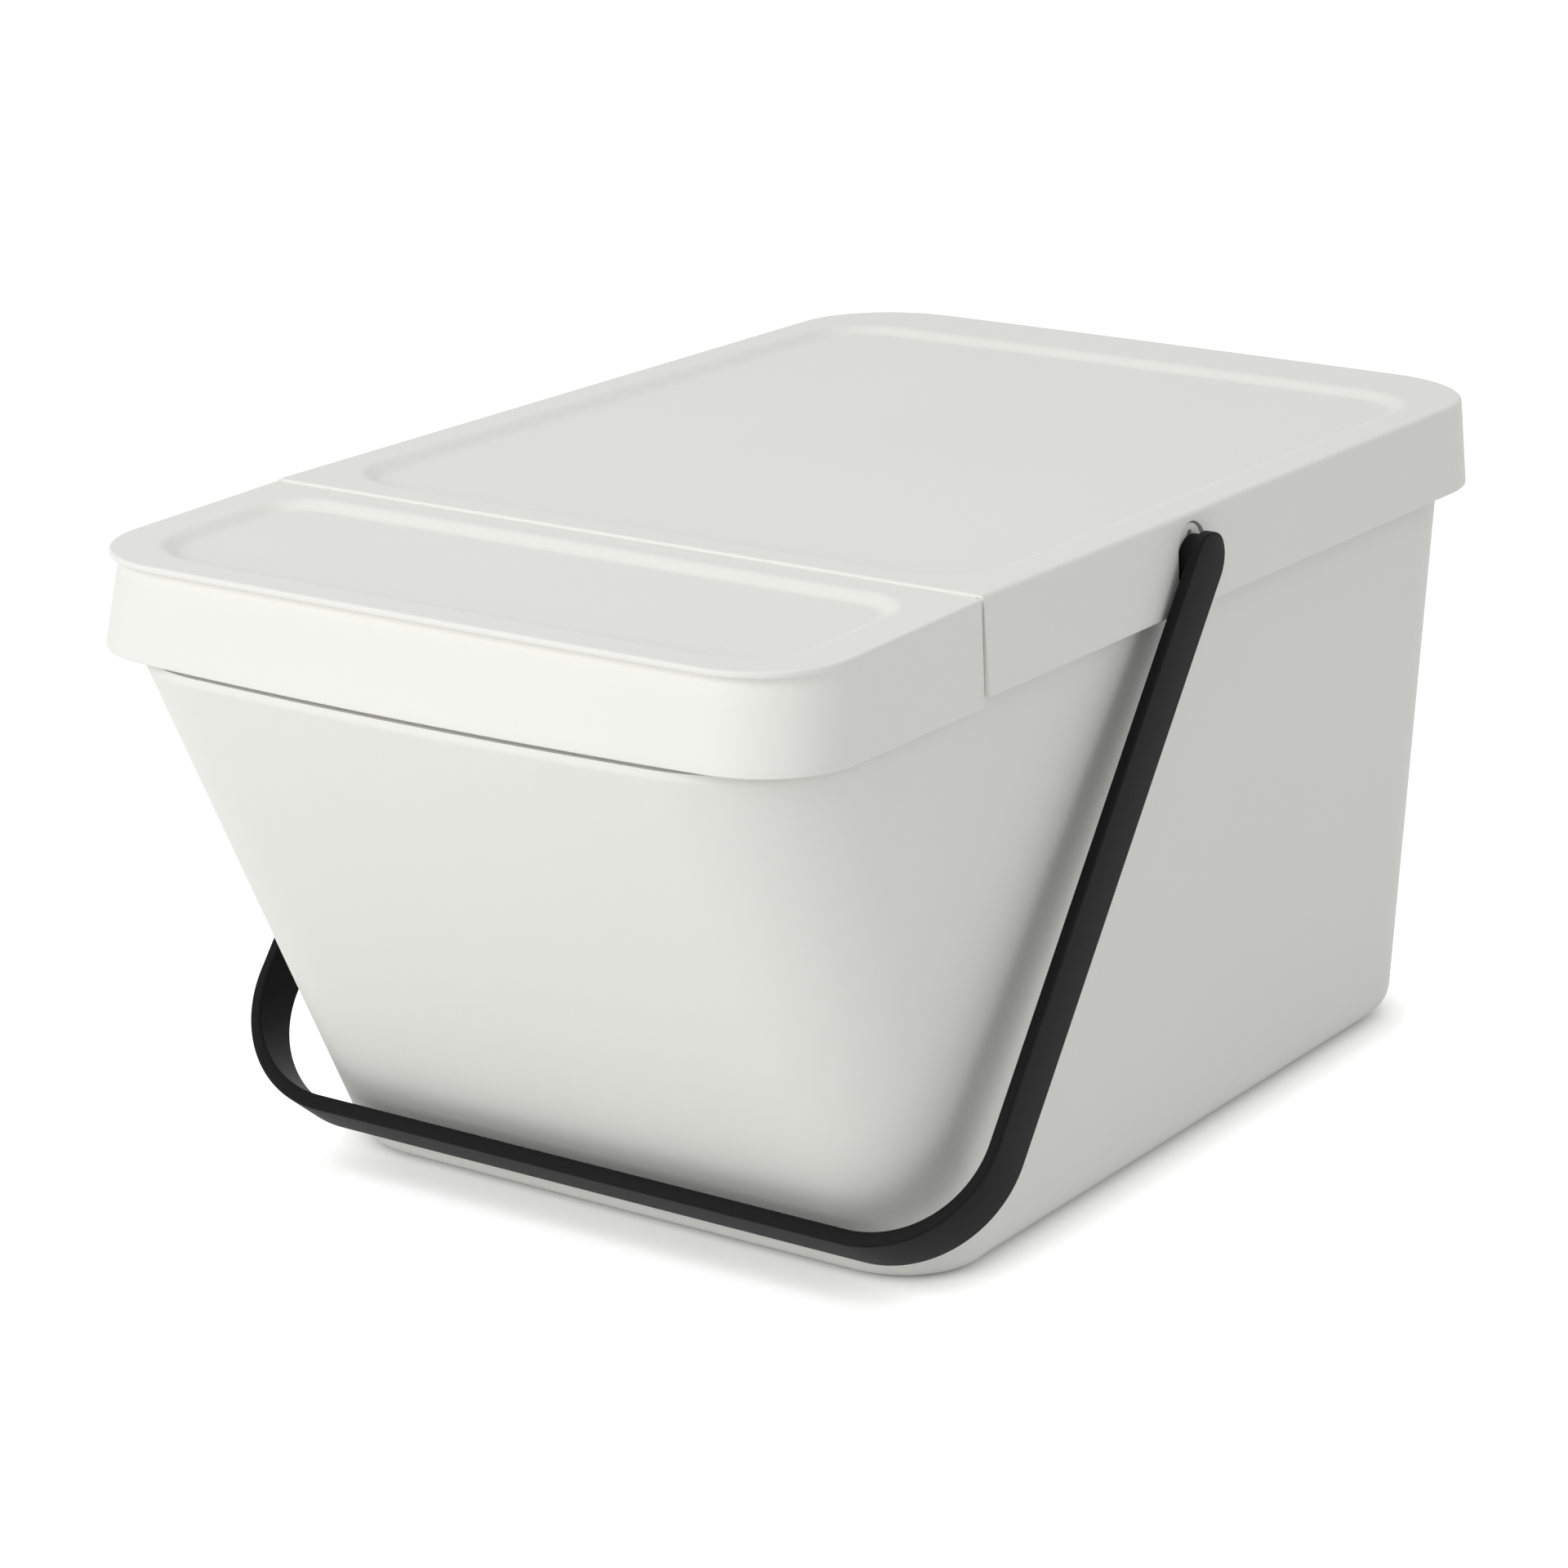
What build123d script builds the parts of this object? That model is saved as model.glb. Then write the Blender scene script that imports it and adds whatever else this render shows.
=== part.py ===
from build123d import *
from math import atan, cos, degrees, radians, sin, tan
import os

os.makedirs("parts", exist_ok=True)

# Frame: X across, -Y is the front with the flap, +Z up, the floor is Z = 0.
# Origin: the middle of the length and width, on the floor. Millimetres.

# Overall sizes
height = 221.0
front_lip_y = -224.7
rear_top_y = 225.3
lid_half_front = 128.2
lid_half_rear = 130.7
lid_rear_radius = 40.0
lid_rear_bow = 1.6
lid_edge_round = 1.6

# Lid and flap shells
skirt_wall = 2.0
flap_wall = 1.8
flap_step = 0.8
lid_skirt_height = 29.7
lid_side_flare = 2.8
lid_rear_flare = 2.35
fold_y = -125.7
fold_gap = 0.06
fold_reach = 0.85
film_thickness = 0.5
flap_skirt_height = 32.2
flap_rear_lean = 0.72
flap_side_flare = 1.3
flap_front_fall = 2.35
flap_front_radius = 31.5
flap_front_bow = 6.7
flap_skirt_front_y = -223.3
lip_overhang = 4.4
lip_thickness = 2.3
lip_bow = 0.5

# Recesses in the two tops, the rear one takes the foot of a bin stacked on it
recess_depth = 2.6
recess_slope = 7.0
dish_inset = 2.0
recess_radius = 26.0
stack_recess_border_side = 11.5
stack_recess_border_rear = 30.0
stack_recess_border_front = 12.0
flap_recess_border_side = 13.0
flap_recess_border_rear = 9.0
flap_recess_border_front = 11.0
flap_recess_radius = 26.0
recess_corner_rear = 18.0
lid_recess_wall = 2.2

# Bucket
bucket_wall = 2.2
bucket_floor = 2.6
band_height = 37.5
band_inset_front = 3.6
band_inset_rear = 5.1
band_front_y = -220.3
band_rear_y = 217.4
band_front_radius = 50.5
band_rear_radius = 39.0
rim_front_radius = 37.0
band_front_bow = 7.0
ledge_rise = 2.6
neck_front_y = -218.2
neck_bow = 6.5
front_rake = 28.6
foot_inset_front = 7.6
foot_inset_rear = 4.4
foot_rear_y = 204.1
foot_radius = 35.5
foot_front_bow = 0.5
foot_edge_round = 12.0
rim_flange_clearance = 0.6
rim_flange_thickness = 2.4
rim_flange_start = 9.0

# Handle
pivot_y = -0.7
pivot_depth = 15.0
handle_reach = 235.7
handle_width = 19.5
arm_thickness = 3.6
bar_thickness = 5.0
arm_clearance = 1.2
handle_splay = 2.4
handle_corner_radius = 40.0
handle_edge_round = 1.1
rest_tilt = 37.2
boss_radius = 8.4
boss_play = 0.15
pin_radius = 4.5
pin_clearance = 0.1
key_width = 2.4
key_reach = 8.6
key_thickness = 2.2
key_play = 0.3

# Lug on the bucket and the notch in the lid's skirt that drops over it
lug_half_width = 8.4
lug_top = 11.7
lug_foot = 16.5
lug_sink = 0.3
notch_clearance = 0.6
notch_spread = 1.2
notch_reach = 20.0
slot_width = 2.9
slot_top = 9.6

# Places that follow from the sizes above
rim_front_y = front_lip_y + lip_overhang + skirt_wall + rim_flange_clearance
lid_wall = flap_wall + flap_step
flap_top_z = height - flap_step
flap_foot_z = flap_top_z - flap_skirt_height
rim_z = height - lid_wall
band_z = height - band_height
band_half_front = lid_half_front - band_inset_front
band_half_rear = lid_half_rear - band_inset_rear
foot_half_front = band_half_front - foot_inset_front
foot_half_rear = band_half_rear - foot_inset_rear
rake_slope = tan(radians(front_rake))
foot_front_y = band_front_y + band_z * rake_slope
pivot_z = height - pivot_depth
skirt_bottom_z = height - lid_skirt_height
length = rear_top_y - front_lip_y
side_slope = (lid_half_rear - lid_half_front) / length
flap_length = fold_y - front_lip_y
flap_tilt = degrees(atan(flap_front_fall / flap_length))
lug_face_x = lid_half_front + side_slope * (pivot_y - front_lip_y) - lug_sink
arm_inner_x = lug_face_x + lug_sink + lid_side_flare + arm_clearance
bucket_side_x = band_half_front + (band_half_rear - band_half_front) * (pivot_y - band_front_y) / (
    band_rear_y - band_front_y)
notch_top_z = pivot_z + lug_top + notch_clearance
notch_inner_x = bucket_side_x - bucket_wall
key_inner_x = bucket_side_x - bucket_wall - key_play - key_thickness


def half_at(y):
    """Half width of the tapering lid and flap at the place y."""
    return lid_half_front + side_slope * (y - front_lip_y)


def closed_outline(half_a, half_b, y_a, y_b, bow_a, bow_b, radius_a, radius_b):
    """A tapering rounded outline, its front and rear edges bowed outwards."""
    with BuildSketch() as outline:
        with BuildLine():
            Line((half_a, y_a), (half_b, y_b))
            ThreePointArc((half_b, y_b), (0, y_b + bow_b), (-half_b, y_b))
            Line((-half_b, y_b), (-half_a, y_a))
            ThreePointArc((-half_a, y_a), (0, y_a - bow_a), (half_a, y_a))
        make_face()
        fillet(outline.vertices().group_by(Axis.Y)[0], radius_a)
        fillet(outline.vertices().group_by(Axis.Y)[-1], radius_b)
    return outline.sketch


def rear_outline(inset, y_start, side_flare=0.0, rear_flare=0.0):
    """The rear lid's outline, square at the fold and rounded at the rear."""
    radius = lid_rear_radius + rear_flare - inset
    half_start = half_at(y_start) + side_flare - inset
    half_end = lid_half_rear + side_flare - inset
    y_end = rear_top_y + rear_flare - inset
    with BuildSketch() as outline:
        with BuildLine():
            Line((half_start, y_start), (half_end, y_end))
            ThreePointArc((half_end, y_end), (0, y_end + lid_rear_bow), (-half_end, y_end))
            Line((-half_end, y_end), (-half_start, y_start))
            Line((-half_start, y_start), (half_start, y_start))
        make_face()
        fillet(outline.vertices().group_by(Axis.Y)[-1], radius)
    return outline.sketch


def front_outline(inset, y_end, y_front, bow, side_flare=0.0):
    """The flap's outline in its own plane, square at the fold, rounded in front."""
    radius = flap_front_radius - inset
    half_end = half_at(fold_y + y_end) + side_flare - inset
    half_front = half_at(fold_y + y_front) + side_flare - inset
    y_front = y_front + inset
    with BuildSketch() as outline:
        with BuildLine():
            Line((half_front, y_front), (half_end, y_end))
            Line((half_end, y_end), (-half_end, y_end))
            Line((-half_end, y_end), (-half_front, y_front))
            ThreePointArc((-half_front, y_front), (0, y_front - bow), (half_front, y_front))
        make_face()
        fillet(outline.vertices().group_by(Axis.Y)[0], radius)
    return outline.sketch


def raked_shell_part(inset, floor_z, top_z, bottom_round):
    """The bucket's outer shape, or its hollow when it is set in by the wall."""
    ledge_z = band_z + ledge_rise - inset
    with BuildPart() as shape:
        with BuildSketch(Plane.XY.offset(floor_z)):
            add(closed_outline(foot_half_front - inset, foot_half_rear - inset,
                               foot_front_y - rake_slope * floor_z + inset, foot_rear_y - inset,
                               foot_front_bow, lid_rear_bow,
                               foot_radius - inset, foot_radius - inset))
        with BuildSketch(Plane.XY.offset(band_z)):
            add(band_outline(inset, band_front_y, band_front_bow, band_front_radius))
        loft()
        with BuildSketch(Plane.XY.offset(band_z)):
            add(band_outline(inset, band_front_y, band_front_bow, band_front_radius))
        extrude(amount=ledge_z - band_z)
        with BuildSketch(Plane.XY.offset(ledge_z)):
            add(band_outline(inset, neck_front_y, neck_bow, band_front_radius))
        with BuildSketch(Plane.XY.offset(top_z)):
            add(band_outline(inset, rim_front_y, lip_bow, rim_front_radius))
        loft()
        fillet(shape.faces().sort_by(Axis.Z)[0].edges(), bottom_round)
    return shape.part


def band_outline(inset, front_y, front_bow, front_radius):
    """The upright band's outline, drawn in behind the flap's skirt at its top."""
    return closed_outline(band_half_front - inset, band_half_rear - inset,
                          front_y + inset, band_rear_y - inset, front_bow, lid_rear_bow,
                          front_radius - inset, band_rear_radius - inset)


def arch(half_width, top_z, foot_z, spread=0.0):
    """An arch on the pivot's line, seen from the side, its legs spread at the foot."""
    spring_z = top_z - half_width
    with BuildSketch() as outline:
        with BuildLine():
            Line((pivot_y - half_width - spread, foot_z), (pivot_y - half_width, spring_z))
            ThreePointArc((pivot_y - half_width, spring_z), (pivot_y, top_z),
                          (pivot_y + half_width, spring_z))
            Line((pivot_y + half_width, spring_z), (pivot_y + half_width + spread, foot_z))
            Line((pivot_y + half_width + spread, foot_z), (pivot_y - half_width - spread, foot_z))
        make_face()
    return outline.sketch


def stack_recess(inset):
    """The rear lid's recess, set in by part of its sloped edge."""
    y_start = fold_y + stack_recess_border_front + inset
    y_end = rear_top_y - stack_recess_border_rear - inset
    side = stack_recess_border_side + inset
    return closed_outline(half_at(y_start) - side, half_at(y_end) - side, y_start, y_end,
                          0.2, lid_rear_bow, recess_radius - inset, recess_radius - inset)


def flap_recess(inset):
    """The flap's recess in the flap's own plane."""
    y_start = flap_recess_border_front + inset - flap_length
    y_end = -flap_recess_border_rear - inset
    side = flap_recess_border_side + inset
    return closed_outline(half_at(fold_y + y_start) - side, half_at(fold_y + y_end) - side,
                          y_start, y_end, lip_bow, 0.2,
                          flap_recess_radius - inset, recess_corner_rear - inset)


# The flap's own plane lies on its top and falls to the front from the fold
flap_plane = Plane(origin=(0, fold_y, flap_top_z), x_dir=(1, 0, 0),
                   z_dir=(0, -sin(radians(flap_tilt)), cos(radians(flap_tilt))))
flap_foot_plane = Plane(origin=(0, fold_y, flap_foot_z), x_dir=(1, 0, 0), z_dir=(0, 0, 1))

# Bucket: a raked body, an upright band with a ledge in front, a rim flange and two lugs
outer_shape = raked_shell_part(0.0, 0.0, rim_z, foot_edge_round)
hollow_shape = raked_shell_part(bucket_wall, bucket_floor, height, foot_edge_round - bucket_wall)

with BuildPart() as bucket:
    add(outer_shape)
    # The flange fills the lid's skirt and carries the lid
    with BuildSketch(Plane.XY.offset(rim_z - rim_flange_thickness)):
        add(rear_outline(skirt_wall + rim_flange_clearance, fold_y + rim_flange_start))
    extrude(amount=rim_flange_thickness)
    # One arched lug on each side takes the handle's pin
    with BuildSketch(Plane.YZ.offset(bucket_side_x - bucket_wall)):
        add(arch(lug_half_width, pivot_z + lug_top, pivot_z - lug_foot))
    extrude(amount=lug_face_x - bucket_side_x + bucket_wall)
    with BuildSketch(Plane.YZ.offset(-lug_face_x)):
        add(arch(lug_half_width, pivot_z + lug_top, pivot_z - lug_foot))
    extrude(amount=lug_face_x - bucket_side_x + bucket_wall)
    add(hollow_shape, mode=Mode.SUBTRACT)
    # Under the flap the rim follows the flap's slope
    with BuildSketch(flap_plane.offset(-flap_wall)):
        with Locations((0, -length / 2)):
            Rectangle(2 * length, length)
    extrude(amount=height, mode=Mode.SUBTRACT)
    # Keyholes: a round bore and an upright slot through each lug and wall
    with BuildSketch(Plane.YZ):
        with Locations((pivot_y, pivot_z)):
            Circle(pin_radius + pin_clearance)
        with Locations((pivot_y, pivot_z + slot_top / 2)):
            Rectangle(slot_width, slot_top)
    extrude(amount=2 * lug_face_x, both=True, mode=Mode.SUBTRACT)

# Rear lid: a dished top inside a flared skirt, with the hinge film along its front edge
lid_start_y = fold_y + fold_reach
with BuildPart() as rear_lid:
    with BuildSketch(Plane.XY.offset(height)):
        add(rear_outline(0.0, lid_start_y))
    with BuildSketch(Plane.XY.offset(skirt_bottom_z)):
        add(rear_outline(0.0, lid_start_y, lid_side_flare, lid_rear_flare))
    loft()
    fillet(rear_lid.faces().sort_by(Axis.Z)[-1].edges().sort_by(Axis.Y)[1:], lid_edge_round)
    with BuildSketch(Plane.XY.offset(rim_z)):
        add(rear_outline(skirt_wall, lid_start_y - 1))
    with BuildSketch(Plane.XY.offset(skirt_bottom_z)):
        add(rear_outline(skirt_wall, lid_start_y - 1, lid_side_flare, lid_rear_flare))
    loft(mode=Mode.SUBTRACT)
    # Dish under the recess, then the recess itself with sloped edges
    with BuildSketch(Plane.XY.offset(height - recess_depth - lid_recess_wall)):
        add(stack_recess(dish_inset))
    extrude(amount=recess_depth)
    with BuildSketch(Plane.XY.offset(height - recess_depth)):
        add(stack_recess(recess_slope))
    with BuildSketch(Plane.XY.offset(height)):
        add(stack_recess(0.0))
    loft(mode=Mode.SUBTRACT)
    # Hinge film, level with the flap's top and reaching to the fold
    with BuildSketch(Plane.XY.offset(flap_top_z)):
        with Locations((0, fold_y + fold_gap / 2 + fold_reach)):
            Rectangle(2 * half_at(fold_y) - 2 * skirt_wall, 2 * fold_reach)
    extrude(amount=-film_thickness)
    # Notches that drop over the bucket's lugs and the handle's bosses
    with BuildSketch(Plane.YZ.offset(notch_inner_x)):
        add(arch(lug_half_width + notch_clearance, notch_top_z, skirt_bottom_z - 1, notch_spread))
    extrude(amount=notch_reach, mode=Mode.SUBTRACT)
    with BuildSketch(Plane.YZ.offset(-notch_inner_x)):
        add(arch(lug_half_width + notch_clearance, notch_top_z, skirt_bottom_z - 1, notch_spread))
    extrude(amount=-notch_reach, mode=Mode.SUBTRACT)

# Front flap: the same shell in the flap's plane, with a lip standing proud in front
with BuildPart() as front_flap:
    with BuildSketch(flap_plane):
        add(front_outline(0.0, -fold_gap / 2, lip_overhang - flap_length, lip_bow))
    with BuildSketch(flap_foot_plane):
        add(front_outline(0.0, flap_rear_lean, flap_skirt_front_y - fold_y, flap_front_bow,
                          flap_side_flare))
    loft()
    with BuildSketch(flap_plane):
        add(front_outline(0.0, -fold_gap / 2 - flap_front_radius, -flap_length, lip_bow))
    extrude(amount=-lip_thickness)
    with BuildSketch(flap_plane.offset(-flap_wall)):
        add(front_outline(skirt_wall, 1.0, lip_overhang - flap_length, lip_bow))
    with BuildSketch(flap_foot_plane):
        add(front_outline(skirt_wall, 1.0, flap_skirt_front_y - fold_y, flap_front_bow,
                          flap_side_flare))
    loft(mode=Mode.SUBTRACT)
    with BuildSketch(flap_plane.offset(-recess_depth - flap_wall)):
        add(flap_recess(dish_inset))
    extrude(amount=recess_depth)
    with BuildSketch(flap_plane.offset(-recess_depth)):
        add(flap_recess(recess_slope))
    with BuildSketch(flap_plane):
        add(flap_recess(0.0))
    loft(mode=Mode.SUBTRACT)

# Handle: a flat bail, its arms outside the skirt and its bar under the raked front
handle_plane = Plane(origin=(0, pivot_y, pivot_z), x_dir=(1, 0, 0),
                     z_dir=(0, -cos(radians(rest_tilt)), sin(radians(rest_tilt))))
arm_outer_x = arm_inner_x + arm_thickness
arm_end = handle_width / 2
inner_reach = handle_reach - bar_thickness


def bail_face(arm_x, reach, top, corner_radius):
    """The bail seen square on, from above the pivots down to its bar."""
    slope = handle_splay / handle_reach
    with BuildSketch() as outline:
        with BuildLine():
            Polyline((arm_x - slope * top, top), (arm_x + slope * reach, -reach),
                     (-arm_x - slope * reach, -reach), (-arm_x + slope * top, top), close=True)
        make_face()
        fillet(outline.vertices().group_by(Axis.Y)[0], corner_radius)
    return outline.sketch


# One side's boss, pin and bayonet key, mirrored for the other side
with BuildPart() as pivot_pin:
    with BuildSketch(Plane.YZ.offset(lug_face_x + boss_play)):
        with Locations((pivot_y, pivot_z)):
            Circle(boss_radius)
    extrude(amount=arm_inner_x + arm_thickness / 2 - lug_face_x - boss_play)
    with BuildSketch(Plane.YZ.offset(key_inner_x)):
        with Locations((pivot_y, pivot_z)):
            Circle(pin_radius)
    extrude(amount=arm_inner_x - key_inner_x)
    with BuildSketch(Plane.YZ.offset(key_inner_x)):
        with Locations(Location((pivot_y, pivot_z), 180 - rest_tilt)):
            with Locations((key_reach / 2, 0)):
                Rectangle(key_reach, key_width)
    extrude(amount=key_thickness)

with BuildPart() as carry_handle:
    with BuildSketch(handle_plane):
        add(bail_face(arm_outer_x, handle_reach, arm_end, handle_corner_radius))
        add(bail_face(arm_inner_x, inner_reach, 2 * arm_end, handle_corner_radius - arm_thickness),
            mode=Mode.SUBTRACT)
    extrude(amount=handle_width / 2, both=True)
    end_edges = carry_handle.edges().filter_by(Axis.X).sort_by(Axis((0, 0, 0), tuple(handle_plane.y_dir)))
    fillet(end_edges[-4:], arm_end - 0.02)
    fillet(carry_handle.faces().sort_by(Axis(handle_plane.origin, handle_plane.z_dir))[-1].edges(),
           handle_edge_round)
    add(pivot_pin.part)
    mirror(pivot_pin.part, about=Plane.YZ)

bucket.part.label = "bucket"
export_step(bucket.part, "parts/bucket.step")
rear_lid.part.label = "rear_lid"
export_step(rear_lid.part, "parts/rear_lid.step")
front_flap.part.label = "front_flap"
export_step(front_flap.part, "parts/front_flap.step")
carry_handle.part.label = "carry_handle"
export_step(carry_handle.part, "parts/carry_handle.step")
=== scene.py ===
"""Stackable kitchen bin with a dished lid, a hinged front flap and a carry handle.

Every size is in metres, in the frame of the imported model: X across, -Y to the
front with the flap, +Z up, the floor at Z = 0.
"""

import math

import bmesh
import bpy
import numpy as np
from bpy.props import FloatProperty, FloatVectorProperty, PointerProperty
from mathutils import Matrix, Vector


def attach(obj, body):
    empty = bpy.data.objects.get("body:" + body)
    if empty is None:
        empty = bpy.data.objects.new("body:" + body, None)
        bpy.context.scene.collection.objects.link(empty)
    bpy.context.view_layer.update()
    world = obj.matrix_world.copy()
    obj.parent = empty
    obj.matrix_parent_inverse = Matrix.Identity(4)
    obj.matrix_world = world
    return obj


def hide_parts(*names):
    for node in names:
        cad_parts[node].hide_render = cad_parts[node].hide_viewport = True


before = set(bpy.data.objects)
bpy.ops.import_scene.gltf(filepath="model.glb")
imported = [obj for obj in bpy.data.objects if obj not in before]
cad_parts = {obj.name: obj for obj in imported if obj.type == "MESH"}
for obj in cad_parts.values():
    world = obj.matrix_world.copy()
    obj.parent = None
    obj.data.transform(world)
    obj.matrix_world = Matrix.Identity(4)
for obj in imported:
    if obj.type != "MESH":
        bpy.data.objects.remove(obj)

bl_info = {
    "name": "Stackable Kitchen Bin",
    "version": (1, 0, 0),
    "blender": (4, 5, 0),
    "location": "3D View > Sidebar > Bin",
    "description": "Builds the bin's lid, flap, bucket and handle around its packed model",
    "category": "Object",
}

SHARP_ANGLE = math.radians(38)

# Points this close are one, and each outline's end bows out by at least this
MERGE_DISTANCE = 1e-7
LEAST_BOW = 1e-6
# Corners that look square, the recesses' straight ends, and rounds hardly seen
SQUARE_CORNER = 0.0004
FILM_CORNER = 0.0001
RECESS_BOW = 0.0002
INNER_ROUND = 0.001
BOSS_ROUND = 0.0006
PIN_CHAMFER = 0.0003

# Steps in an outline's half end, its corner and its side, and in a small edge round
EDGE_STEPS = 22
ARC_STEPS = 22
SIDE_STEPS = 40
ROUND_STEPS = 6

# Rings or points in each larger round and slope
SLOPE_RINGS = 15
SKIRT_RINGS = 10
FOOT_RINGS = 12
BEND_RINGS = 8
WALL_RINGS = 16
CROWN_POINTS = 33
BORE_POINTS = 49
SLOT_POINTS = 13
BOSS_POINTS = 64
STRAP_POINTS = {"end": 16, "arm": 26, "corner": 33, "bar": 18}
# Angle by which the strap's round ends stop short of a point
BLUNT_END = 0.03

# Cutters go past the faces they open, and the notches and keyholes past the bin's sides
CUT_PAST = 0.001
INSIDE_SKIRT = 0.120
PAST_SIDES = 0.150
HOLLOW_SHARES = (0.5, 1.0, 1.1)
CAP_SHARES = (0.4, 0.8, 0.98)

# Ways in under the flap's lip, as shares of its reach and thickness
UNDER_LIP = [(0.0, 0.55), (0.02, 0.68), (0.06, 0.82), (0.12, 0.93), (0.2, 1.0),
             (0.5, 1.03), (0.8, 1.07), (0.92, 1.2), (1.0, 1.5)]
# Ways across the bucket's ledge and its rim, as shares, and the drop in metres at each
LEDGE_DROPS = [(0.0, 0.0003), (0.03, 0.0001), (0.12, 0.0), (1.0, -0.0001)]
RIM_DROPS = [(0.0, 0.0005), (0.1, 0.00012), (0.25, 0.0), (0.75, 0.0), (0.9, 0.00012),
             (1.0, 0.0005)]


def length(name, description, default):
    """A size in metres for a property group."""
    return FloatProperty(
        name=name, description=description, default=default, unit="LENGTH",
        subtype="DISTANCE", precision=4)


def tint(name, description, default):
    """A linear colour for a property group."""
    return FloatVectorProperty(
        name=name, description=description, default=default, size=4, min=0.0, max=1.0,
        subtype="COLOR")


def share(name, description, default):
    """A number from 0 to 1 for a property group."""
    return FloatProperty(
        name=name, description=description, default=default, min=0.0, max=1.0,
        subtype="FACTOR")


class LidSizes(bpy.types.PropertyGroup):
    """Sizes of the dished rear lid."""

    height: length("Height", "Top of the lid above the floor", 0.221)
    front_y: length("Front line", "Place of the flap's lip, where the taper starts", -0.2247)
    rear_y: length("Rear edge", "Rear edge of the lid's top", 0.2253)
    half_front: length("Half width in front", "Half width at the flap's lip", 0.1282)
    half_rear: length("Half width at rear", "Half width at the rear corners", 0.1307)
    rear_radius: length("Rear corner radius", "Radius of the two rear corners", 0.040)
    rear_bow: length("Rear bow", "How far the rear edge bows out", 0.0016)
    edge_round: length("Top edge round", "Rounding of the top's outer edge", 0.0016)
    fold_round: length("Fold edge round", "Rounding of the lid's front edge", 0.0006)
    wall: length("Skirt wall", "Thickness of the skirt", 0.002)
    plate: length("Plate", "Thickness of the lid's border", 0.0026)
    dish_wall: length("Dish wall", "Thickness under the recess", 0.0022)
    dish_inset: length("Dish inset", "How far the dish stands inside the recess", 0.002)
    skirt: length("Skirt height", "Height of the skirt below the top", 0.0297)
    side_flare: length("Side flare", "How far the skirt flares out at its foot", 0.0028)
    rear_flare: length("Rear flare", "How far the rear skirt flares out", 0.00230)
    foot_round: length("Skirt foot round", "Rounding of the skirt's lower edge", 0.0006)
    recess_depth: length("Recess depth", "Depth of the stacking recess", 0.0026)
    recess_slope: length("Recess slope", "Width of the recess's soft slope", 0.007)
    recess_radius: length("Recess radius", "Radius of the recess's corners", 0.026)
    border_side: length("Side border", "Flat border beside the recess", 0.0115)
    border_rear: length("Rear border", "Flat border behind the recess", 0.030)
    border_front: length("Front border", "Flat border in front of the recess", 0.012)
    film: length("Hinge film", "Thickness of the film at the fold", 0.0005)
    film_half: length("Half width of film", "Half width of the hinge film", 0.1262)


class FlapSizes(bpy.types.PropertyGroup):
    """Sizes of the hinged front flap."""

    fold_y: length("Fold", "Place of the fold between lid and flap", -0.1257)
    fold_gap: length("Fold gap", "Gap between the halves of the film", 0.00006)
    fold_reach: length("Fold reach", "How far the lid's front face stands behind the fold", 0.00085)
    step: length("Step", "How far the flap's top lies below the lid's", 0.0008)
    wall: length("Plate", "Thickness of the flap's top", 0.0018)
    fall: length("Fall", "How far the flap falls towards its lip", 0.00235)
    skirt: length("Skirt height", "From the fold down to the skirt's level foot", 0.0322)
    rear_lean: length("Rear lean", "How far the rear edge leans back at its foot", 0.00072)
    side_flare: length("Side flare", "How far the skirt flares out at its foot", 0.0013)
    front_radius: length("Corner radius", "Radius of the front corners", 0.0315)
    skirt_front_y: length("Skirt front", "Front of the skirt at its foot", -0.2233)
    skirt_bow: length("Skirt bow", "How far the skirt bows out in front", 0.00665)
    lip: length("Lip", "How far the lip stands proud of the skirt", 0.0044)
    lip_thickness: length("Lip thickness", "Thickness of the lip", 0.0023)
    lip_bow: length("Lip bow", "How far the lip bows out", 0.0005)
    edge_round: length("Edge round", "Rounding of the lip and the side edges", 0.0008)
    fold_round: length("Fold edge round", "Rounding of the flap's rear edge", 0.0003)
    recess_radius: length("Front recess radius", "Radius of the recess's front corners", 0.026)
    recess_radius_rear: length("Rear recess radius", "Radius of its rear corners", 0.018)
    border_side: length("Side border", "Flat border beside the recess", 0.013)
    border_rear: length("Rear border", "Flat border behind the recess", 0.009)
    border_front: length("Front border", "Flat border in front of the recess", 0.011)


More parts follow.
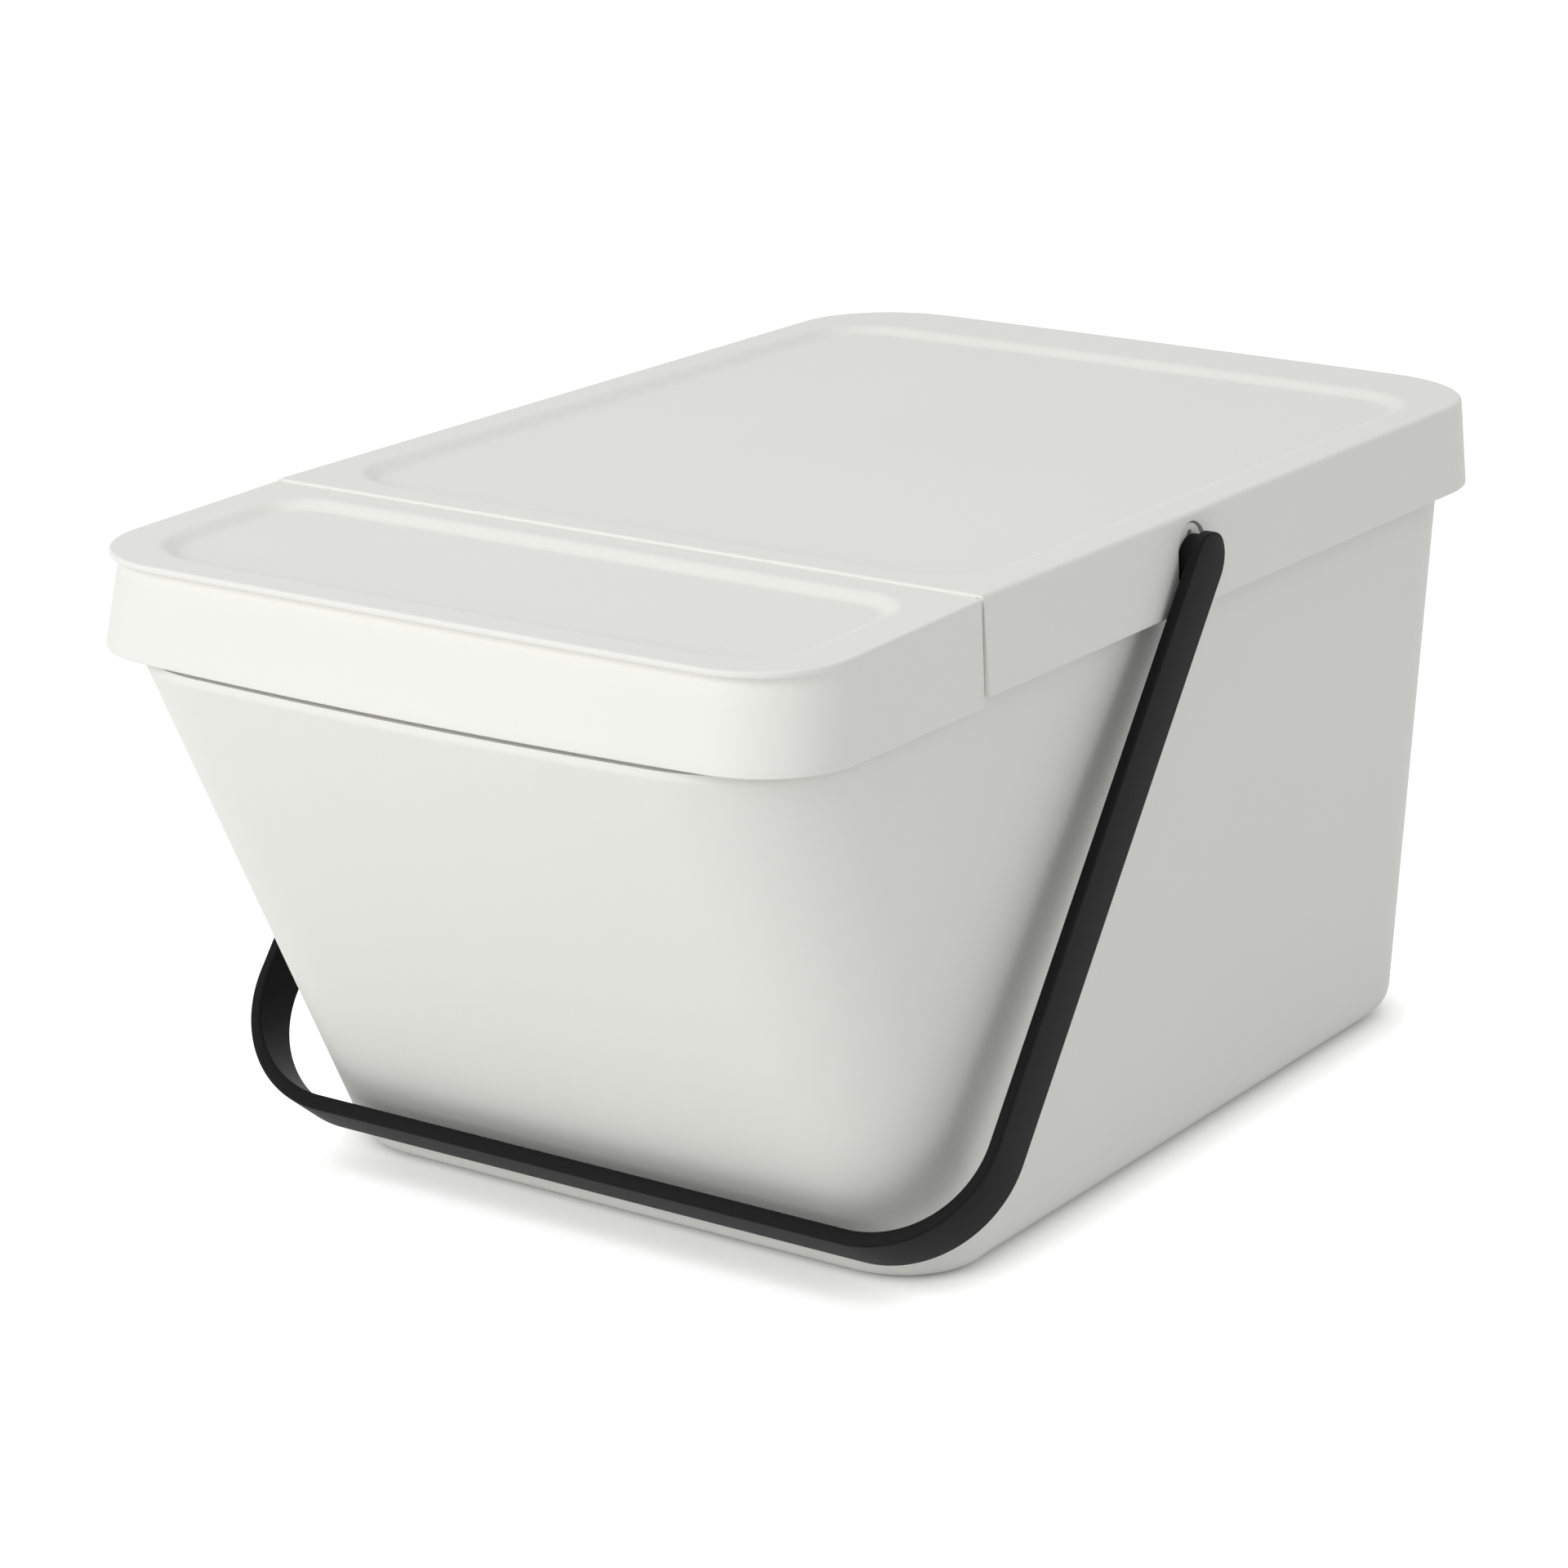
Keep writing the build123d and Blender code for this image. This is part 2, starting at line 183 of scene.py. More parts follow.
class BucketSizes(bpy.types.PropertyGroup):
    """Sizes of the bucket."""

    wall: length("Wall", "Thickness of the wall", 0.0022)
    floor: length("Floor", "Thickness of the floor", 0.0026)
    band_z: length("Band foot", "Height at which the upright band starts", 0.1835)
    band_half_front: length("Band half width", "Half width of the band in front", 0.1246)
    band_half_rear: length("Band half width at rear", "Half width of the band at the rear", 0.1256)
    band_front_y: length("Band front", "Front of the band at its foot", -0.2203)
    band_rear_y: length("Band rear", "Rear of the band", 0.2174)
    band_bow: length("Band bow", "How far the band bows out in front", 0.007)
    front_radius: length("Front corner radius", "Radius of the band's front corners", 0.047)
    rear_radius: length("Rear corner radius", "Radius of the band's rear corners", 0.039)
    rim_radius: length("Rim corner radius", "Radius of the rim's front corners", 0.037)
    ledge_rise: length("Ledge rise", "Height of the ledge above the band's foot", 0.0026)
    neck_front_y: length("Neck front", "Front of the neck above the ledge", -0.2182)
    neck_bow: length("Neck bow", "How far the neck bows out in front", 0.0065)
    foot_half_front: length("Foot half width", "Half width of the foot in front", 0.117)
    foot_half_rear: length("Foot half width at rear", "Half width of the foot at the rear", 0.1212)
    foot_front_y: length("Foot front", "Front of the foot", -0.12025)
    foot_rear_y: length("Foot rear", "Rear of the foot", 0.2041)
    foot_bow: length("Foot bow", "How far the foot bows out in front", 0.0005)
    foot_radius: length("Foot corner radius", "Radius of the foot's corners", 0.032)
    foot_round: length("Foot round", "Rounding between walls and floor", 0.012)
    rim_front_y: length("Rim front", "Front of the rim under the flap", -0.2177)
    crease: length("Crease", "Length over which rake and band blend", 0.0009)
    flange_clearance: length("Flange clearance", "Gap between flange and skirt", 0.0006)
    flange: length("Flange", "Thickness of the flange under the lid", 0.0024)
    flange_start: length("Flange start", "Distance from the fold to the flange", 0.009)
    flange_gap: length("Flange gap", "Gap between the flange and the lid's underside", 0.0001)


class HandleSizes(bpy.types.PropertyGroup):
    """Sizes of the handle, its pins and the lugs that carry it."""

    pivot_y: length("Pivot Y", "Place of the pivot along the bin", -0.0007)
    pivot_z: length("Pivot Z", "Height of the pivot", 0.206)
    tilt: FloatProperty(
        name="Tilt", description="Angle between the hanging handle and the upright",
        default=math.radians(37.2), unit="ROTATION", subtype="ANGLE")
    reach: length("Reach", "From the pivot to the outside of the bar", 0.2357)
    width: length("Strap width", "Width of the flat strap", 0.0195)
    arm: length("Arm thickness", "Thickness of the arms", 0.0036)
    bar: length("Bar thickness", "Thickness of the bar", 0.005)
    splay: length("Splay", "How far each arm splays out by the bar", 0.0024)
    corner_radius: length("Corner radius", "Outer radius of the two corners", 0.040)
    edge_round: length("Edge round", "Rounding of the strap's edges", 0.0011)
    arm_clearance: length("Arm clearance", "Gap between arm and skirt", 0.00118)
    boss_radius: length("Boss radius", "Radius of the boss between arm and lug", 0.0084)
    boss_play: length("Boss play", "Gap between boss and lug", 0.00015)
    pin_radius: length("Pin radius", "Radius of the pin", 0.0045)
    pin_clearance: length("Pin clearance", "Radial gap round the pin", 0.0001)
    key_width: length("Key width", "Width of the bayonet key", 0.0024)
    key_reach: length("Key reach", "Reach of the key from the pin's middle", 0.0086)
    key_thickness: length("Key thickness", "Thickness of the key", 0.0022)
    key_play: length("Key play", "Gap between key and wall", 0.0003)
    lug_half: length("Lug half width", "Half width of the arched lug", 0.0084)
    lug_top: length("Lug top", "Top of the lug above the pivot", 0.0117)
    lug_foot: length("Lug foot", "Foot of the lug below the pivot", 0.0165)
    lug_sink: length("Lug sink", "How far the lug lies inside the lid's side", 0.0003)
    lug_round: length("Lug round", "Rounding of the lug's edge", 0.0006)
    notch_clearance: length("Notch clearance", "Gap between lug and notch", 0.0006)
    notch_spread: length("Notch spread", "How far the notch widens at its foot", 0.0012)
    slot_width: length("Slot width", "Width of the keyhole's slot", 0.0029)
    slot_top: length("Slot top", "Top of the slot above the pivot", 0.0096)


class Finishes(bpy.types.PropertyGroup):
    """Colours and gloss of the two mouldings."""

    bin_colour: tint("Bin colour", "Warm white of the bin", (0.845, 0.845, 0.803, 1.0))
    handle_colour: tint("Handle colour", "Near black of the handle", (0.012, 0.012, 0.0130, 1.0))
    bin_roughness: share("Bin roughness", "Roughness of the bin", 0.58)
    handle_roughness: share("Handle roughness", "Roughness of the handle", 0.5)
    bin_grain: length("Bin grain", "Size of the bin's fine moulded grain", 0.0007)
    handle_grain: length("Handle grain", "Size of the handle's grain", 0.0005)


def half_at(lid, y):
    """Half width of the lid's tapering top at the place y."""
    slope = (lid.half_rear - lid.half_front) / (lid.rear_y - lid.front_y)
    return lid.half_front + slope * (y - lid.front_y)


def quarter(half_far, y_far, half_end, y_end, bow, radius):
    """An outline's right rear corner and half of its bowed end, side first."""
    bow = max(bow, LEAST_BOW)
    big = (half_end**2 + bow**2) / (2 * bow)
    middle = np.array([0.0, y_end + bow - big])
    along = np.array([half_end - half_far, y_end - y_far])
    along /= np.linalg.norm(along)
    outward = np.array([along[1], -along[0]])
    start = np.array([half_end, y_end]) - radius * outward
    offset = start - middle
    ahead = offset @ along
    corner = start + along * (
        math.sqrt(ahead**2 - offset @ offset + (big - radius) ** 2) - ahead)
    first = math.atan2(outward[1], outward[0])
    last = math.atan2(*(corner - middle)[::-1])
    turn = np.linspace(first, last, ARC_STEPS + 1)
    arc = corner + radius * np.stack([np.cos(turn), np.sin(turn)], 1)
    turn = np.linspace(last, math.pi / 2, EDGE_STEPS + 1)[1:]
    edge = middle + big * np.stack([np.cos(turn), np.sin(turn)], 1)
    edge[-1, 0] = 0.0
    return np.concatenate([arc, edge])


def outline(half_a, half_b, y_a, y_b, bow_a, bow_b, radius_a, radius_b):
    """A tapering rounded outline from the middle of its front, right side first."""
    rear = quarter(half_a, y_a, half_b, y_b, bow_b, radius_b)
    front = (quarter(half_b, -y_b, half_a, -y_a, bow_a, radius_a) * [1, -1])[::-1]
    side = np.linspace(front[-1], rear[0], SIDE_STEPS + 1)[1:-1]
    right = np.concatenate([front, side, rear])
    return np.concatenate([right, right[-2:0:-1] * [-1, 1]])


def end_weights(rear=False):
    """1 along an outline's front edge, or its rear edge, fading out round the corners."""
    fade = np.linspace(1, 0, ARC_STEPS + 1)
    right = np.concatenate([np.ones(EDGE_STEPS), fade, np.zeros(SIDE_STEPS - 1)])
    right = np.concatenate([right, np.zeros(ARC_STEPS + EDGE_STEPS + 1)])
    if rear:
        right = right[::-1]
    return np.concatenate([right, right[-2:0:-1]])


def at_height(points, z):
    """An outline's points, raised to z, which may differ from point to point."""
    return np.column_stack([points, np.broadcast_to(z, len(points))])


def between(ring_a, ring_b, shares):
    """Rings between two matching rings."""
    return [ring_a + (ring_b - ring_a) * s for s in shares]


def mesh_from_rings(name, rings):
    """A closed mesh from matching rings, with both ends capped."""
    count = len(rings[0])
    faces = []
    for level in range(len(rings) - 1):
        low = level * count
        for i in range(count):
            j = (i + 1) % count
            faces.append((low + i, low + j, low + count + j, low + count + i))
    top = (len(rings) - 1) * count
    faces.append(tuple(range(count))[::-1])
    faces.append(tuple(range(top, top + count)))
    return mesh_from_faces(name, np.concatenate(rings), faces)


def add_object(name, data):
    """An object at the origin with this data, on the scene."""
    added = bpy.data.objects.new(name, data)
    bpy.context.scene.collection.objects.link(added)
    return added


def edit_mesh(mesh, *edits):
    """Runs each edit on a mesh's points and faces."""
    work = bmesh.new()
    work.from_mesh(mesh)
    for edit in edits:
        edit(work)
    work.to_mesh(mesh)
    work.free()


def face_outwards(work):
    """Turns a mesh's faces outwards."""
    bmesh.ops.recalc_face_normals(work, faces=work.faces)


def merge_points(work):
    """Joins points that lie in one place."""
    bmesh.ops.remove_doubles(work, verts=work.verts, dist=MERGE_DISTANCE)


def drop_slivers(work):
    """Takes out edges and faces without a size."""
    bmesh.ops.dissolve_degenerate(work, edges=work.edges, dist=MERGE_DISTANCE)


def mesh_from_faces(name, points, faces):
    """A mesh object with its faces outwards."""
    mesh = bpy.data.meshes.new(name)
    mesh.from_pydata([tuple(p) for p in points], [], faces)
    edit_mesh(mesh, face_outwards)
    return add_object(name, mesh)


def combine(piece, other, operation):
    """Joins other to piece, or cuts it out, and removes other."""
    step = piece.modifiers.new(operation, "BOOLEAN")
    step.operation = operation
    step.solver = "EXACT"
    step.object = other
    mesh = bpy.data.meshes.new_from_object(
        piece.evaluated_get(bpy.context.evaluated_depsgraph_get()))
    piece.modifiers.remove(step)
    spare = piece.data
    piece.data = mesh
    bpy.data.meshes.remove(spare)
    bpy.data.objects.remove(other)
    if not len(mesh.polygons):
        raise RuntimeError(f"{operation} left nothing of {piece.name}")


def finish_piece(piece, node, body, material):
    """Smooths the piece, gives it its material and puts it in the node's place."""
    edit_mesh(piece.data, merge_points, drop_slivers)
    piece.data.materials.clear()
    piece.data.materials.append(material)
    piece.data.polygons.foreach_set("use_smooth", [True] * len(piece.data.polygons))
    piece.data.set_sharp_from_angle(angle=SHARP_ANGLE)
    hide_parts(node)
    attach(piece, body)


def upright(section, x):
    """A section's (y, z) points, placed at x."""
    return np.column_stack([np.full(len(section), x), section])


def prism(name, section, start, end):
    """A prism along X whose section is a list of (y, z) points."""
    return mesh_from_rings(name, [upright(section, x) for x in (start, end)])


def arch(middle, half, top, foot, spread=0.0):
    """An arch's outline in the YZ plane, its legs spread at the foot."""
    turn = np.linspace(0, math.pi, CROWN_POINTS)
    crown = np.column_stack([middle + half * np.cos(turn), top - half + half * np.sin(turn)])
    return np.concatenate([
        [[middle + half + spread, foot]], crown, [[middle - half - spread, foot]]])


def soft_step(shares):
    """A slope that leaves and arrives level."""
    return 0.5 - 0.5 * np.cos(np.pi * np.asarray(shares))


def cap_rings(ring, shares):
    """Rings that fill a ring from near its middle."""
    middle = ring.mean(axis=0)
    return [middle + (ring - middle) * s for s in shares]


def recess_rings(recess, depth, slope, top):
    """Rings of a recess from its floor's middle to its upper edge."""
    rings = cap_rings(at_height(recess(slope), top - depth), (0.3, 0.6, 0.85, 0.97))
    for s in np.linspace(0, 1, SLOPE_RINGS):
        rings.append(at_height(recess(slope * (1 - s)), top - depth * (1 - soft_step(s))))
    return rings


def drawn_in(wide, tight):
    """A plate's outline for dished_rings, wide at 0 and tight at 1."""
    return lambda inset: wide + (tight - wide) * inset


def dished_rings(recess, depth, slope, top, edge, edge_round):
    """Rings of a dished plate: its recess, its border and its rounded outer edge.

    edge(inset) is the plate's outline, and edge_round its rounding, alike all round
    or given at each point.
    """
    rings = recess_rings(recess, depth, slope, top)
    border = at_height(edge(1.0), top)
    rings += between(rings[-1], border, (0.03, 0.5, 0.985, 1.0))
    for turn in np.linspace(0, math.pi / 2, ROUND_STEPS + 1)[1:]:
        rings.append(at_height(edge(1 - math.sin(turn)), top - edge_round * (1 - math.cos(turn))))
    return rings


def skirt_rings(top_ring, foot_ring, foot_round, inner_foot):
    """Rings down a skirt, round its lower edge and in below it."""
    rings = between(top_ring, foot_ring + [0, 0, foot_round], np.linspace(0, 1, SKIRT_RINGS)[1:])
    inward = inner_foot - foot_ring
    inward /= np.maximum(np.linalg.norm(inward, axis=1), 1e-9)[:, None]
    for turn in np.linspace(0, math.pi / 2, ROUND_STEPS)[1:]:
        rings.append(foot_ring + inward * foot_round * (1 - math.cos(turn))
                     + [0, 0, foot_round * (1 - math.sin(turn))])
    return rings


def stack_recess(lid, flap, inset):
    """The rear lid's recess, set in by part of its slope."""
    y_a = flap.fold_y + lid.border_front + inset
    y_b = lid.rear_y - lid.border_rear - inset
    side = lid.border_side + inset
    return outline(half_at(lid, y_a) - side, half_at(lid, y_b) - side, y_a, y_b, RECESS_BOW,
                   lid.rear_bow, lid.recess_radius - inset, lid.recess_radius - inset)


def lid_outline(lid, y_a, inset, side_flare=0.0, rear_flare=0.0):
    """The rear lid's outline from y_a back, square at the fold."""
    return outline(half_at(lid, y_a) + side_flare - inset, lid.half_rear + side_flare - inset,
                   y_a, lid.rear_y + rear_flare - inset, 0.0, lid.rear_bow, SQUARE_CORNER,
                   lid.rear_radius + rear_flare - inset)


def lid_shell(lid, flap, start, foot_z):
    """The rear lid's outer form, not yet hollow."""
    rounds = lid.edge_round + (lid.fold_round - lid.edge_round) * end_weights()
    edge = drawn_in(lid_outline(lid, start, 0.0),
                    lid_outline(lid, start + lid.fold_round, lid.edge_round))
    rings = dished_rings(lambda inset: stack_recess(lid, flap, inset), lid.recess_depth,
                         lid.recess_slope, lid.height, edge, rounds)
    foot, within = (
        at_height(lid_outline(lid, start, inset, lid.side_flare, lid.rear_flare), foot_z)
        for inset in (0.0, lid.wall))
    rings += skirt_rings(rings[-1], foot, lid.foot_round, within)
    return mesh_from_rings("rear_lid_moulding", rings)


def lid_hollow(lid, flap, start, foot_z):
    """The space under the rear lid, which opens the skirt at the fold too."""
    front = start - CUT_PAST
    edge = drawn_in(lid_outline(lid, front, lid.wall),
                    lid_outline(lid, front, lid.wall + INNER_ROUND))
    hollow = dished_rings(
        lambda inset: stack_recess(lid, flap, inset + lid.dish_inset - lid.recess_slope),
        lid.recess_depth + lid.dish_wall - lid.plate, lid.recess_slope,
        lid.height - lid.plate, edge, INNER_ROUND)
    below = at_height(lid_outline(lid, front, lid.wall, lid.side_flare, lid.rear_flare), foot_z)
    hollow += between(hollow[-1], below, HOLLOW_SHARES)
    return mesh_from_rings("lid_hollow", hollow)


def hinge_film(lid, flap, start):
    """The lid's half of the film that the flap folds on."""
    top = lid.height - flap.step
    film = outline(lid.film_half, lid.film_half, flap.fold_y + flap.fold_gap / 2,
                   start + lid.wall, 0.0, 0.0, FILM_CORNER, FILM_CORNER)
    return mesh_from_rings("hinge_film", [at_height(film, z) for z in (top - lid.film, top)])


class BIN_OT_rear_lid(bpy.types.Operator):
    """Build the dished rear lid with its skirt, notches and hinge film"""

    bl_idname = "bin.rear_lid"
    bl_label = "Rear Lid"

    def execute(self, context):
        scene = context.scene
        lid, flap, handle = scene.bin_lid, scene.bin_flap, scene.bin_handle
        start = flap.fold_y + flap.fold_reach
        foot_z = lid.height - lid.skirt
        rear_lid = lid_shell(lid, flap, start, foot_z)
        combine(rear_lid, lid_hollow(lid, flap, start, foot_z), "DIFFERENCE")
        combine(rear_lid, hinge_film(lid, flap, start), "UNION")
        notch = arch(handle.pivot_y, handle.lug_half + handle.notch_clearance,
                     handle.pivot_z + handle.lug_top + handle.notch_clearance,
                     foot_z - 2 * CUT_PAST, handle.notch_spread)
        for sign in (-1, 1):
            cutter = prism("lid_notch", notch, sign * INSIDE_SKIRT, sign * PAST_SIDES)
            combine(rear_lid, cutter, "DIFFERENCE")
        finish_piece(rear_lid, "rear_lid", "lid", bin_plastic(scene))
        return {"FINISHED"}


def flap_recess(lid, flap, inset):
    """The flap's recess in the flap's own plane, measured from the fold."""
    y_a = lid.front_y - flap.fold_y + flap.border_front + inset
    y_b = -flap.border_rear - inset
    side = flap.border_side + inset
    return outline(half_at(lid, flap.fold_y + y_a) - side, half_at(lid, flap.fold_y + y_b) - side,
                   y_a, y_b, flap.lip_bow, RECESS_BOW, flap.recess_radius - inset,
                   flap.recess_radius_rear - inset)


def flap_outline(lid, flap, inset, y_a, bow, side_flare=0.0, y_b=0.0):
    """The flap's outline in its own plane, square at the fold."""
    half_a = half_at(lid, flap.fold_y + y_a) + side_flare - inset
    half_b = half_at(lid, flap.fold_y + y_b) + side_flare - inset
    return outline(half_a, half_b, y_a + inset, y_b, bow, 0.0, flap.front_radius - inset,
                   SQUARE_CORNER)


def flap_tilt(lid, flap):
    """The angle at which the flap falls towards its lip."""
    return math.atan2(flap.fall, flap.fold_y - lid.front_y)


def flap_foot(lid, flap, inset, y_b):
    """The skirt's level foot, in the plane of the tilted flap."""
    ring = flap_outline(lid, flap, inset, flap.skirt_front_y - flap.fold_y, flap.skirt_bow,
                        flap.side_flare, y_b)
    ring = at_height(ring, -flap.skirt)
    return ring @ np.array(Matrix.Rotation(flap_tilt(lid, flap), 3, "X"))


def flap_shell(lid, flap):
    """The flap's outer form in its own plane, not yet hollow."""
    lip_y = lid.front_y - flap.fold_y
    gap = -flap.fold_gap / 2
    rounds = flap.edge_round + (flap.fold_round - flap.edge_round) * end_weights(rear=True)
    edge = drawn_in(flap_outline(lid, flap, 0.0, lip_y, flap.lip_bow, y_b=gap),
                    flap_outline(lid, flap, flap.edge_round, lip_y, flap.lip_bow,
                                 y_b=gap - flap.fold_round))
    rings = dished_rings(lambda inset: flap_recess(lid, flap, inset), lid.recess_depth,
                         lid.recess_slope, 0.0, edge, rounds)
    for inward, down in UNDER_LIP:
        ring = flap_outline(lid, flap, 0.0, lip_y + flap.lip * inward, flap.lip_bow, y_b=gap)
        rings.append(at_height(ring, -flap.lip_thickness * down))
    foot, within = (flap_foot(lid, flap, inset, flap.rear_lean) for inset in (0.0, lid.wall))
    rings += skirt_rings(rings[-1], foot, lid.foot_round, within)
    return mesh_from_rings("front_flap_moulding", rings)


def flap_hollow(lid, flap):
    """The space under the flap, which opens the skirt at the fold too."""
    front = lid.front_y - flap.fold_y + flap.lip
    edge = drawn_in(*(flap_outline(lid, flap, inset, front, flap.lip_bow, y_b=CUT_PAST)
                      for inset in (lid.wall, lid.wall + INNER_ROUND)))
    hollow = dished_rings(
        lambda inset: flap_recess(lid, flap, inset + lid.dish_inset - lid.recess_slope),
        lid.recess_depth, lid.recess_slope, -flap.wall, edge, INNER_ROUND)
    hollow += between(hollow[-1], flap_foot(lid, flap, lid.wall, CUT_PAST), HOLLOW_SHARES)
    return mesh_from_rings("flap_hollow", hollow)


class BIN_OT_front_flap(bpy.types.Operator):
    """Build the front flap with its recess, its skirt and its proud lip"""

    bl_idname = "bin.front_flap"
    bl_label = "Front Flap"

    def execute(self, context):
        scene = context.scene
        lid, flap = scene.bin_lid, scene.bin_flap
        front_flap = flap_shell(lid, flap)
        combine(front_flap, flap_hollow(lid, flap), "DIFFERENCE")
        front_flap.data.transform(
            Matrix.Translation((0.0, flap.fold_y, lid.height - flap.step))
            @ Matrix.Rotation(flap_tilt(lid, flap), 4, "X"))
        finish_piece(front_flap, "front_flap", "flap", bin_plastic(scene))
        return {"FINISHED"}


def rounded_foot(foot, band, radius):
    """Rings from the floor up round the foot's edge to the raked wall, point by point."""
    step = np.roll(foot, -1, axis=0) - np.roll(foot, 1, axis=0)
    outward = np.column_stack([step[:, 1], -step[:, 0], np.zeros(len(foot))])
    outward /= np.linalg.norm(outward, axis=1)[:, None]
    lean = np.arctan(((band - foot) * outward).sum(1) / (band[0, 2] - foot[0, 2]))
    drift = (band - foot) - outward * ((band - foot) * outward).sum(1)[:, None]
    drift[:, 2] = 0.0
    back = radius * (1 / np.cos(lean) - np.tan(lean))
    rings = []
    for s in np.linspace(0, 1, FOOT_RINGS):
        turn = (math.pi / 2 - lean) * s
        up = radius * (1 - np.cos(turn))
        shift = (radius * np.sin(turn) - back)[:, None] * outward
        along = drift * (up / (band[0, 2] - foot[0, 2]))[:, None]
        rings.append(foot + shift + along + np.column_stack([up * 0, up * 0, up]))
    return rings


def blended_corner(before, corner, after, reach):
    """Rings that take a soft bend at corner, point by point."""
    into = before - corner
    away = after - corner
    start = corner + into * (reach / np.linalg.norm(into, axis=1))[:, None]
    end = corner + away * (reach / np.linalg.norm(away, axis=1))[:, None]
    return [start * (1 - t) ** 2 + corner * 2 * t * (1 - t) + end * t**2
            for t in np.linspace(0, 1, BEND_RINGS)]


def bucket_side(bucket, lid, flap, inset, floor_z, radius, bend_reach):
    """Rings of the bucket's outer side, or of its inside when it is set in by the wall."""
    rake = (bucket.band_front_y - bucket.foot_front_y) / bucket.band_z
    corner = bucket.foot_radius - inset
    foot = at_height(outline(
        bucket.foot_half_front - inset, bucket.foot_half_rear - inset,
        bucket.foot_front_y + rake * floor_z + inset, bucket.foot_rear_y - inset,
        bucket.foot_bow, lid.rear_bow, corner, corner), floor_z)

    def band(front_y, bow, front_radius):
        return outline(bucket.band_half_front - inset, bucket.band_half_rear - inset,
                       front_y + inset, bucket.band_rear_y - inset, bow, lid.rear_bow,
                       front_radius - inset, bucket.rear_radius - inset)

    proud = band(bucket.band_front_y, bucket.band_bow, bucket.front_radius)
    neck = band(bucket.neck_front_y, bucket.neck_bow, bucket.front_radius)
    crease = at_height(proud, bucket.band_z)
    ledge_z = bucket.band_z + bucket.ledge_rise - inset
    rim = band(bucket.rim_front_y, flap.lip_bow, bucket.rim_radius)
    tilt = flap_tilt(lid, flap)
    fallen = (lid.height - flap.step - flap.wall / math.cos(tilt)
              + math.tan(tilt) * (rim[:, 1] - flap.fold_y))
    rim = at_height(rim, np.minimum(lid.height - lid.plate, fallen))
    rings = rounded_foot(foot, crease, radius)
    ledge = [at_height(proud + (neck - proud) * s, ledge_z - drop) for s, drop in LEDGE_DROPS]
    bend = blended_corner(rings[-1], crease, ledge[0], bend_reach)
    rings += between(rings[-1], bend[0], np.linspace(0, 1, WALL_RINGS)[1:-1]) + bend + ledge
    return rings + between(ledge[-1], rim, (0.03, 0.5, 0.98, 1.0))


def bucket_shell(bucket, lid, flap):
    """The bucket's floor and walls, closed over the rim."""
    outer = bucket_side(bucket, lid, flap, 0.0, 0.0, bucket.foot_round, bucket.crease)
    inner = bucket_side(bucket, lid, flap, bucket.wall, bucket.floor,
                        bucket.foot_round - bucket.wall, bucket.crease / 20)
    rim = [outer[-1] * (1 - s) + inner[-1] * s - [0, 0, drop] for s, drop in RIM_DROPS]
    under = cap_rings(outer[0], CAP_SHARES)
    inside = cap_rings(inner[0], CAP_SHARES[::-1])
    return mesh_from_rings("bucket_moulding", under + outer[:-1] + rim + inner[-2::-1] + inside)


def rim_flange(bucket, lid, flap):
    """The flange under the lid, from one side round the rear to the other."""
    start = flap.fold_y + bucket.flange_start
    sunk = bucket.wall / 2
    open_path = slice(EDGE_STEPS + ARC_STEPS + 1, -EDGE_STEPS - ARC_STEPS)
    wide = lid_outline(lid, start, lid.wall + bucket.flange_clearance)[open_path]
    deep = outline(bucket.band_half_front - sunk, bucket.band_half_rear - sunk, start,
                   bucket.band_rear_y - sunk, 0.0, lid.rear_bow, SQUARE_CORNER,
                   bucket.rear_radius - sunk)[open_path]
    top = lid.height - lid.plate - bucket.flange_gap
    low = top - bucket.flange
    return mesh_from_rings("rim_flange", [
        np.array([[*a, top], [*b, top], [*b, low], [*a, low]]) for a, b in zip(wide, deep)])


def handle_lug(bucket, handle, side, sign):
    """One arched lug, from inside the bucket's wall to its rounded face."""
    round_over = handle.lug_round
    rings = []
    for x, inset in ((side["wall_x"] - bucket.wall / 2, 0.0), (side["face_x"] - round_over, 0.0),
                     (side["face_x"] - round_over * 0.3, round_over * 0.3),
                     (side["face_x"], round_over)):
        section = arch(handle.pivot_y, handle.lug_half - inset,
                       handle.pivot_z + handle.lug_top - inset,
                       handle.pivot_z - handle.lug_foot + inset)
        rings.append(upright(section, sign * x))
    return mesh_from_rings("handle_lug", rings)


class BIN_OT_bucket(bpy.types.Operator):
    """Build the bucket with its upright band, flange, lugs and keyholes"""

    bl_idname = "bin.bucket"
    bl_label = "Bucket"

    def execute(self, context):
        scene = context.scene
        lid, flap = scene.bin_lid, scene.bin_flap
        bucket, handle = scene.bin_bucket, scene.bin_handle
        shell = bucket_shell(bucket, lid, flap)
        combine(shell, rim_flange(bucket, lid, flap), "UNION")
        for sign in (-1, 1):
            combine(shell, handle_lug(bucket, handle, lug_places(scene), sign), "UNION")
        keyholes = prism("keyholes", keyhole(handle), -PAST_SIDES, PAST_SIDES)
        combine(shell, keyholes, "DIFFERENCE")
        finish_piece(shell, "bucket", "root", bin_plastic(scene))
        return {"FINISHED"}


